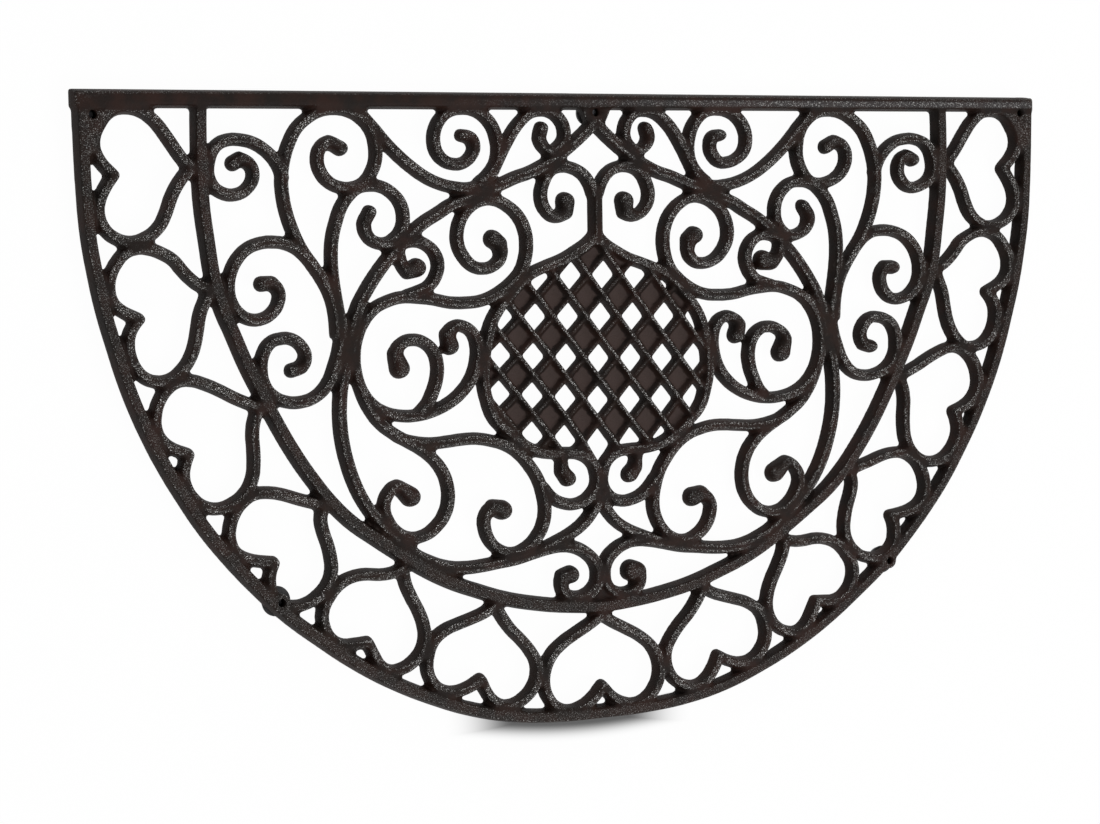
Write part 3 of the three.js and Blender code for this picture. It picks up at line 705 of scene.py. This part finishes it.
def webs():
    solids = []
    flat = ((CORNER_WEB, WEB_HEIGHT), (MIDDLE_WEB, MIDDLE_WEB_HEIGHT), (LOW_WEB, LOW_WEB_HEIGHT))
    for outline, height in flat:
        for side in SIDES:
            solids.append([[place(p, side, z) for p in outline] for z in (0, height)])
    for hole in (HOLES["front_left"], HOLES["front_right"]):
        solids.append([circle(hole, 1, DISC_RADIUS, z) for z in (0, WEB_HEIGHT)])
    return stacked("webs", solids)


castings += [eyes(), straight_bar(), corner_posts(), webs()]

# %% Lattice: a block on the medallion's outline, with the cells cut out of it
CELL_WIDTH = 25.6
CELL_HEIGHT = 29.3
CELL_HEIGHT_LOSS = 0.04
LATTICE_ROW = 142
ROW_FALL = 0.025
ROW_LEAN = 0.09
UPRIGHT_ROW = 6
LAST_ROW = 7
LAST_ROW_DROP = 5.5
BLOCK_HEIGHT = 7.4
RIB_PROFILE = (5.2, 2.6, 9.6)
RIB_LEVELS = [(-1, 2.7), (3, 2.4), (6, 1.6), (7.8, 0.7), (9.5, 0.2)]
PANEL_LEVELS = [(3.6, 3.2), (5.4, 2.2), (7.4, 0.9), (9.5, 0.2)]
FRAME_POINTS = 22
RIB_STEPS = 8
RIB_STARTS = range(-13, 14, 2)
RIB_ROWS = range(-6, 10)
CELL_ROWS = range(-4, 8)
CELL_COLUMNS = range(-7, 8)
CELL_CORNERS = ((1, 0), (0, -1), (-1, 0), (0, 1))


def lattice_point(across, row):
    """A corner or a middle of the hand-set cells, which fall and lean a little to the right."""
    out = across * CELL_WIDTH / 2 + ROW_LEAN * (UPRIGHT_ROW - row) ** 2
    height = CELL_HEIGHT + CELL_HEIGHT_LOSS * min(out, 0)
    low = LAST_ROW_DROP * max(0, 1 - abs(out) / CELL_WIDTH) * max(0, row - LAST_ROW + 2) / 2
    return Vector((out, LATTICE_ROW + row * height / 2 + ROW_FALL * out + low))


def cell(across, row, levels):
    """Tapered void of a cell; each level is a height and the rib's half width there."""
    middle = lattice_point(across, row)
    corners = [lattice_point(across + dx, row + dy) for dx, dy in CELL_CORNERS]
    inset = math.hypot(CELL_WIDTH, CELL_HEIGHT) / (CELL_WIDTH * CELL_HEIGHT / 2)
    return [
        [place(corner.lerp(middle, rib * inset), 1, z) for corner in corners]
        for z, rib in levels
    ]


def medallion_outline():
    line = [Vector((out, down)) for out, down in SCROLLS["medallion_frame"][:FRAME_POINTS]]
    return line + [Vector((-p.x, p.y)) for p in reversed(line) if p.x > 0]


def lattice_block():
    outline = medallion_outline()
    return stacked("lattice", [[[place(p, 1, z) for p in outline] for z in (0, BLOCK_HEIGHT)]])


def inside(point, outline):
    """Counts how often a line from the point to the right crosses the outline."""
    crossings = 0
    for a, b in zip(outline, outline[1:] + outline[:1]):
        if (a.y > point.y) != (b.y > point.y):
            crossings += point.x < a.x + (point.y - a.y) / (b.y - a.y) * (b.x - a.x)
    return crossings % 2 == 1


def long_ribs():
    """The ribs that run from upper left to lower right lie over the others, a little higher."""
    outline = medallion_outline()
    lines = []
    for start in RIB_STARTS:
        corners = [lattice_point(row + start, row) for row in RIB_ROWS]
        steps = [
            a.lerp(b, i / RIB_STEPS)
            for a, b in zip(corners, corners[1:]) for i in range(RIB_STEPS)
        ]
        kept = [place(p) for p in steps if inside(p, outline)]
        if len(kept) > RIB_STEPS // 2:
            lines.append(kept)
    return swept_bars("long_ribs", lines, RIB_PROFILE)


def lattice():
    """Cells with even numbers are open, and those with odd numbers keep a floor."""
    voids = []
    for row in CELL_ROWS:
        for across in CELL_COLUMNS:
            if across % 2 == 0 and row % 2 == 0 and row > CELL_ROWS.start:
                voids.append(cell(across, row, RIB_LEVELS))
            if across % 2 and row % 2:
                voids.append(cell(across, row, PANEL_LEVELS))
    return cut(lattice_block(), stacked("cell_voids", voids), "EXACT")


castings += [lattice(), long_ribs()]

# %% [markdown]
# ## From bars to a casting
# So far the bars only pass through each other. A voxel remesh melts them into one skin, as the
# molten iron did. The skin is then pushed out, melted again and drawn back by the same amount,
# which leaves the flats where they were and fills every inner corner with the small fillet of a
# casting. Decimating takes its triangles from the flattest places first, and the holes are
# drilled last, so that they stay crisp.

# %% Join, remesh, fillet and drill
VOXEL = 0.9 * MM
FILLET = 0.65 * MM
MOST_TRIANGLES = 192_000
EASING_ROUNDS = 3
SMOOTHING = 0.5
DRILL_HEIGHTS_MM = (-2, 20)
DRILL_SIDES = 32


def join(things, name):
    bpy.ops.object.select_all(action="DESELECT")
    for thing in things:
        thing.select_set(True)
    bpy.context.view_layer.objects.active = things[0]
    bpy.ops.object.join()
    joined = bpy.context.object
    joined.name = joined.data.name = name
    return joined


def standing_out(thing):
    """Every vertex of the skin, and how far it stands out of its surroundings, in millimetres."""
    mesh = thing.data
    count = len(mesh.vertices)
    places, normals = np.empty(count * 3), np.empty(count * 3)
    mesh.vertices.foreach_get("co", places)
    mesh.vertex_normals.foreach_get("vector", normals)
    ends = np.empty(len(mesh.edges) * 2, dtype=np.int64)
    mesh.edges.foreach_get("vertices", ends)
    first, second = ends.reshape(-1, 2).T
    places, normals = places.reshape(-1, 3), normals.reshape(-1, 3)
    degree = np.bincount(first, minlength=count) + np.bincount(second, minlength=count)
    eased = places.copy()
    for _ in range(EASING_ROUNDS):
        sums = [
            np.bincount(first, eased[second, k], count)
            + np.bincount(second, eased[first, k], count)
            for k in range(3)
        ]
        eased = np.stack(sums, axis=1) / degree[:, None]
    return places, ((places - eased) * normals).sum(axis=1) / MM


def triangle_count(thing):
    thing.data.calc_loop_triangles()
    return len(thing.data.loop_triangles)


casting = join(castings, "iron_casting")
apply(casting, "REMESH", mode="VOXEL", voxel_size=VOXEL)
apply(casting, "SMOOTH", factor=SMOOTHING, iterations=1)
apply(casting, "DISPLACE", strength=FILLET, mid_level=0)
apply(casting, "REMESH", mode="VOXEL", voxel_size=VOXEL)
apply(casting, "SMOOTH", factor=SMOOTHING, iterations=1)
apply(casting, "DISPLACE", strength=-FILLET, mid_level=0)
apply(casting, "SMOOTH", factor=SMOOTHING, iterations=2)
print("remeshed:", triangle_count(casting), "triangles")
skin_places, skin_worn = standing_out(casting)
apply(casting, "DECIMATE", ratio=min(1, MOST_TRIANGLES / triangle_count(casting)))
drills = [
    [circle(hole, 1, HOLE_RADIUS, z, DRILL_SIDES) for z in DRILL_HEIGHTS_MM]
    for hole in HOLES.values()
]
cut(casting, stacked("drills", drills), "MANIFOLD")
bpy.ops.object.shade_smooth()
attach(casting, "root")
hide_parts("grille_casting")
print("casting:", triangle_count(casting), "triangles")

# %% [markdown]
# ## Feet, washers and screws
# Each foot is a moulded rubber disc with a recess below, where a washer and a pan head screw
# hide. All three are turned shapes, so a half section is spun round the axis of its hole, as on
# a lathe. The edges of the foot and the washer are then eased with a small bevel, and the screw
# gets its cross recess. What repeats is made once and copied.

# %% Helper: spin a section into a turned piece
SPIN_STEPS = 48
# Edges that turn by more than this are eased, and those that turn by less are shaded smooth
EASED_ABOVE = math.radians(40)
SMOOTH_BELOW = math.radians(35)


def turned(name, section, at):
    """Spins a section of [radius, height] in millimetres round an upright axis at a place."""
    points = [Vector((at.x + radius * MM, at.y, height * MM)) for radius, height in section]
    mesh = bpy.data.meshes.new(name)
    mesh.from_pydata(points, [(i, i + 1) for i in range(len(points) - 1)], [])
    thing = add_object(name, mesh)
    select_only(thing)
    bpy.ops.object.mode_set(mode="EDIT")
    bpy.ops.mesh.select_all(action="SELECT")
    bpy.ops.mesh.spin(
        steps=SPIN_STEPS, angle=2 * math.pi, center=(at.x, at.y, 0), axis=(0, 0, 1)
    )
    bpy.ops.mesh.select_all(action="SELECT")
    bpy.ops.mesh.remove_doubles(threshold=0.01 * MM)
    bpy.ops.mesh.normals_make_consistent(inside=False)
    bpy.ops.object.mode_set(mode="OBJECT")
    return thing


def soften_edges(thing, width):
    apply(thing, "BEVEL", width=width, segments=2, limit_method="ANGLE", angle_limit=EASED_ABOVE)
    bpy.ops.object.shade_smooth_by_angle(angle=SMOOTH_BELOW)


# %% Feet, washers and screws, one set at the middle hole, then copied
FOOT_SECTION = [
    (2.9, 3.9), (6.8, 3.9), (6.8, 0), (8.2, 0), (8.8, 0.6), (10.0, 4.4), (10.3, 5.2),
    (10.0, 5.7), (2.9, 5.7), (2.9, 3.9),
]
WASHER_SECTION = [(2.8, 2.7), (6.3, 2.7), (6.3, 3.6), (2.8, 3.6), (2.8, 2.7)]
SCREW_SECTION = [
    (0, 0.4), (1.8, 0.45), (3.2, 0.8), (4.0, 1.4), (4.3, 2.2), (4.3, 2.4), (2.5, 2.4),
    (2.5, 9.8), (1.9, 10.4), (0, 10.4),
]
RECESS_LENGTH = 4.6 * MM
RECESS_WIDTH = 1.0 * MM
RECESS_DEPTH = 1.3 * MM
HEAD_BOTTOM = 0.4 * MM
FOOT_EDGE = 0.25 * MM
WASHER_EDGE = 0.12 * MM
MIDDLE_HOLE = place(HOLES["back_middle"])


def cross_recess(at):
    """Two crossed blades that cut the drive into the screw's head."""
    blades = []
    for turn in (0, math.pi / 2):
        middle = (at.x, at.y, HEAD_BOTTOM)
        bpy.ops.mesh.primitive_cube_add(size=1, location=middle, rotation=(0, 0, turn))
        blade = bpy.context.object
        blade.scale = (RECESS_LENGTH, RECESS_WIDTH, 2 * RECESS_DEPTH)
        bpy.ops.object.transform_apply(location=True, rotation=True, scale=True)
        blades.append(blade)
    return blades


def screw():
    made = turned("screw", SCREW_SECTION, MIDDLE_HOLE)
    for blade in cross_recess(MIDDLE_HOLE):
        cut(made, blade, "EXACT")
    bpy.ops.object.shade_smooth_by_angle(angle=SMOOTH_BELOW)
    return made


foot_pattern = turned("foot", FOOT_SECTION, MIDDLE_HOLE)
soften_edges(foot_pattern, FOOT_EDGE)
washer_pattern = turned("washer", WASHER_SECTION, MIDDLE_HOLE)
soften_edges(washer_pattern, WASHER_EDGE)
screw_pattern = screw()

fixings = {
    "foot": (foot_pattern, "rubber"),
    "washer": (washer_pattern, "steel"),
    "screw": (screw_pattern, "steel"),
}
small_pieces = []
for kind, (pattern, slot) in fixings.items():
    for where, hole in HOLES.items():
        piece = pattern.copy()
        piece.data = pattern.data.copy()
        piece.name = piece.data.name = kind + "_visual_" + where
        bpy.context.scene.collection.objects.link(piece)
        step = place(hole) - MIDDLE_HOLE
        for vertex in piece.data.vertices:
            vertex.co += step
        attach(piece, "root")
        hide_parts(kind + "_" + where)
        small_pieces.append((kind, piece))
    bpy.data.objects.remove(pattern)
print(len(small_pieces), "small pieces")

# %% [markdown]
# ## Finishes
# The iron is sand cast: its skin is a fine grain under a dark brown coat that turns reddish or
# blackish from place to place. Its tiny specks, most of all on the crests, are bright colour on
# the grain's peaks: partly bare iron on worn edges, partly painted glints.
# The grain and the drifting colour are node groups, since the rubber and the steel use them too,
# each with its own values.

# %% Node groups: grain and drift
# The height of the grain adds up a fine and a coarse noise, and its peaks lie in this range
FINE_SHARE = 0.7
COARSE_SHARE = 0.6
COARSE_SIZE = 0.33
PEAK_RANGE = (0.58, 0.67)
DRIFT_RANGE = (0.36, 0.64)


def node_group(name, inputs, outputs):
    group = bpy.data.node_groups.new(name, "ShaderNodeTree")
    for labels, direction in ((inputs, "INPUT"), (outputs, "OUTPUT")):
        for label in labels:
            group.interface.new_socket(label, in_out=direction, socket_type="NodeSocketFloat")
    start = group.nodes.new("NodeGroupInput")
    end = group.nodes.new("NodeGroupOutput")
    return group, start, end


def add_noise(tree, scale, detail, roughness):
    place_node = tree.nodes.new("ShaderNodeTexCoord")
    noise = tree.nodes.new("ShaderNodeTexNoise")
    noise.inputs["Detail"].default_value = detail
    noise.inputs["Roughness"].default_value = roughness
    tree.links.new(place_node.outputs["Object"], noise.inputs["Vector"])
    tree.links.new(scale, noise.inputs["Scale"])
    return noise.outputs["Fac"]


def make_grain():
    """Fine grain: a height, and a mask of its highest points."""
    group, start, end = node_group("fine_grain", ["Size", "Depth"], ["Height", "Peaks"])
    size = start.outputs["Size"]
    fine = add_noise(group, size, detail=2.0, roughness=0.55)
    coarse = add_noise(group, multiply(group, size, COARSE_SIZE), detail=1.0, roughness=0.5)
    fine_part = multiply(group, fine, FINE_SHARE)
    height = add_math(group, "ADD", fine_part, multiply(group, coarse, COARSE_SHARE))
    group.links.new(multiply(group, height, start.outputs["Depth"]), end.inputs["Height"])
    group.links.new(add_range(group, fine, *PEAK_RANGE), end.inputs["Peaks"])
    return group


def make_drift():
    """Slow change over the surface, from 0 to 1."""
    group, start, end = node_group("colour_drift", ["Size"], ["Drift"])
    noise = add_noise(group, start.outputs["Size"], detail=3.0, roughness=0.6)
    group.links.new(add_range(group, noise, *DRIFT_RANGE), end.inputs["Drift"])
    return group


GRAIN = make_grain()
DRIFT = make_drift()
print("node groups:", GRAIN.name, DRIFT.name)


# %% Materials of iron, rubber and steel
def new_material(name):
    material = bpy.data.materials.new(name)
    material.use_nodes = True
    tree = material.node_tree
    return material, tree, tree.nodes["Principled BSDF"]


def use_group(tree, group, **values):
    node = tree.nodes.new("ShaderNodeGroup")
    node.node_tree = group
    for label, value in values.items():
        node.inputs[label].default_value = value
    return node.outputs


def add_bump(tree, shader, height, distance, strength):
    bump = tree.nodes.new("ShaderNodeBump")
    bump.inputs["Distance"].default_value = distance
    bump.inputs["Strength"].default_value = strength
    tree.links.new(height, bump.inputs["Height"])
    tree.links.new(bump.outputs["Normal"], shader.inputs["Normal"])


IRON_BROWN = (0.0180, 0.0098, 0.0070)
IRON_RED = (0.025, 0.0112, 0.0082)
IRON_BLACK = (0.0078, 0.0068, 0.0060)
IRON_WORN = (0.026, 0.0235, 0.021)
# Colour of the painted sheen on the straight bar, a painted reflection
IRON_PAINTED_SHEEN = (0.075, 0.072, 0.074)
# Bright specks on the grain's peaks: partly bare iron, partly painted glints
IRON_BARE_AND_GLINT = (0.88, 0.87, 0.85)
IRON_PANEL = (0.047, 0.031, 0.027)
EDGE_RANGE_MM = (0.09, 0.15)
PANEL_RANGE_MM = (2.4, 4.6)
FACES_UP = 0.85
# The straight bar gets a lighter painted sheen towards its right: where it starts, and where it
# is at its strongest
# Across the same range the painted shade on the bar's worn edges gives way towards the right
PAINTED_LIGHT_ACROSS = (-0.15, 0.2)
# Below the crest in millimetres: where wear starts and is full, and the very top of the bars
WEAR_BELOW_MM = (5, 2)
TOP_BELOW_MM = (0.8, 0.25)
TOP_WEAR = 0.28
# In from the back edge in millimetres: the painted sheen on the straight bar, and the bar's front
PAINTED_SHEEN_STARTS_MM = (9.5, 7.5)
PAINTED_SHEEN_ENDS_MM = (5.5, 3.5)
BAR_FRONT_MM = (14, 12)
# How much of its worn edges the straight bar keeps at its left, the rest held back as painted
# shade, and the shares of the colours
BAR_LEFT_WEAR_AND_SHADE = 0.4
BLACK_SHARE = 0.7
WORN_SHARE = 0.4
PAINTED_SHEEN_SHARE = 0.45
PAINTED_SHEEN_GLINTS = 0.5
IRON_ROUGHNESS = (0.6, 0.38)
IRON_SPECULAR = 0.13


def write_wear(thing):
    """Writes how much of a crest edge each vertex is, and whether it lies on a panel's floor."""
    mesh = thing.data
    tree = KDTree(len(skin_places))
    for index, here in enumerate(skin_places):
        tree.insert(here, index)
    tree.balance()
    edge, panel = [], []
    low, high = EDGE_RANGE_MM
    panel_low, panel_high = PANEL_RANGE_MM
    for vertex, normal in zip(mesh.vertices, mesh.vertex_normals):
        worn = skin_worn[tree.find(vertex.co)[1]]
        height = (vertex.co.z - UNDERSIDE) / MM
        edge.append(min(max((worn - low) / (high - low), 0), 1))
        panel.append(float(panel_low < height < panel_high and normal.vector.z > FACES_UP))
    for name, values in (("crest_edge", edge), ("panel_floor", panel)):
        mesh.attributes.new(name, "FLOAT", "POINT").data.foreach_set("value", values)
    print("vertices on panel floors:", int(sum(panel)), "mean edge", sum(edge) / len(edge))


def read_attribute(tree, name):
    node = tree.nodes.new("ShaderNodeAttribute")
    node.attribute_name = name
    return node.outputs["Fac"]


def inwards(edge, distances):
    """Two places in metres, from an edge and two distances from it in millimetres."""
    return [edge - distance * MM for distance in distances]


def iron_material():
    material, tree, shader = new_material("sand_cast_iron")
    grain = use_group(tree, GRAIN, Size=1500.0, Depth=1.0)
    slow = use_group(tree, DRIFT, Size=14.0)["Drift"]
    quick = use_group(tree, DRIFT, Size=60.0)["Drift"]
    edge = read_attribute(tree, "crest_edge")
    panel = read_attribute(tree, "panel_floor")
    coordinates = tree.nodes.new("ShaderNodeTexCoord")
    split = tree.nodes.new("ShaderNodeSeparateXYZ")
    tree.links.new(coordinates.outputs["Object"], split.inputs[0])
    x, y, z = split.outputs
    high = add_range(tree, z, *inwards(CREST, WEAR_BELOW_MM))
    highest = add_range(tree, z, *inwards(CREST, TOP_BELOW_MM), 0, TOP_WEAR)
    # Painted sheen: a lighter band along the straight bar's crest, growing towards its right
    painted_sheen = add_range(tree, y, *inwards(BACK_EDGE, PAINTED_SHEEN_STARTS_MM))
    painted_sheen = multiply(tree, painted_sheen, add_range(tree, y, *inwards(BACK_EDGE, PAINTED_SHEEN_ENDS_MM), 1, 0))
    painted_sheen = multiply(tree, painted_sheen, add_range(tree, x, *PAINTED_LIGHT_ACROSS))
    painted_sheen = multiply(tree, painted_sheen, high)
    off_bar = add_range(tree, y, *inwards(BACK_EDGE, BAR_FRONT_MM), 1, 0)
    # Painted shade: on the straight bar the worn crest edges and their specks are held back towards
    # the left, as the light falls from the right
    kept = larger(tree, off_bar, add_range(tree, x, *PAINTED_LIGHT_ACROSS, BAR_LEFT_WEAR_AND_SHADE, 1))
    edge = multiply(tree, edge, kept)
    worn = larger(tree, multiply(tree, edge, high), multiply(tree, highest, off_bar))
    colour = mix_colours(tree, slow, IRON_BROWN, IRON_RED)
    colour = mix_colours(tree, multiply(tree, quick, BLACK_SHARE), colour, IRON_BLACK)
    colour = mix_colours(tree, panel, colour, IRON_PANEL)
    colour = mix_colours(tree, multiply(tree, worn, WORN_SHARE), colour, IRON_WORN)
    colour = mix_colours(tree, multiply(tree, painted_sheen, PAINTED_SHEEN_SHARE), colour, IRON_PAINTED_SHEEN)
    # Specks: near-white colour on the grain's peaks along worn edges and in the painted sheen,
    # partly bare iron and partly painted glints
    glint_and_bare_places = larger(tree, worn, multiply(tree, painted_sheen, PAINTED_SHEEN_GLINTS))
    bare_specks_and_glints = multiply(tree, grain["Peaks"], glint_and_bare_places)
    colour = mix_colours(tree, bare_specks_and_glints, colour, IRON_BARE_AND_GLINT)
    tree.links.new(colour, shader.inputs["Base Color"])
    tree.links.new(add_range(tree, worn, 0, 1, *IRON_ROUGHNESS), shader.inputs["Roughness"])
    shader.inputs["Specular IOR Level"].default_value = IRON_SPECULAR
    add_bump(tree, shader, grain["Height"], distance=0.35 * MM, strength=0.8)
    return material


def plain_material(name, grain_size, grain_depth, drift_size, colours, roughness, bump, metallic):
    """A fine grain, under which the colour and the roughness drift between two values."""
    material, tree, shader = new_material(name)
    grain = use_group(tree, GRAIN, Size=grain_size, Depth=grain_depth)
    drift = use_group(tree, DRIFT, Size=drift_size)["Drift"]
    tree.links.new(mix_colours(tree, drift, *colours), shader.inputs["Base Color"])
    tree.links.new(add_range(tree, drift, 0, 1, *roughness), shader.inputs["Roughness"])
    shader.inputs["Metallic"].default_value = metallic
    add_bump(tree, shader, grain["Height"], *bump)
    return material


# The bump is its distance and its strength
rubber = plain_material(
    "black_rubber", grain_size=2500.0, grain_depth=0.6, drift_size=160.0,
    colours=((0.010, 0.010, 0.011), (0.018, 0.018, 0.019)), roughness=(0.62, 0.78),
    bump=(0.1 * MM, 0.4), metallic=0.0,
)
steel = plain_material(
    "blackened_steel", grain_size=1800.0, grain_depth=0.5, drift_size=220.0,
    colours=((0.05, 0.05, 0.055), (0.10, 0.10, 0.10)), roughness=(0.34, 0.5),
    bump=(0.06 * MM, 0.3), metallic=0.9,
)
finishes = {"foot": rubber, "washer": steel, "screw": steel}
write_wear(casting)
casting.data.materials.clear()
casting.data.materials.append(iron_material())
for kind, piece in small_pieces:
    piece.data.materials.clear()
    piece.data.materials.append(finishes[kind])
print("materials:", [m.name for m in bpy.data.materials])
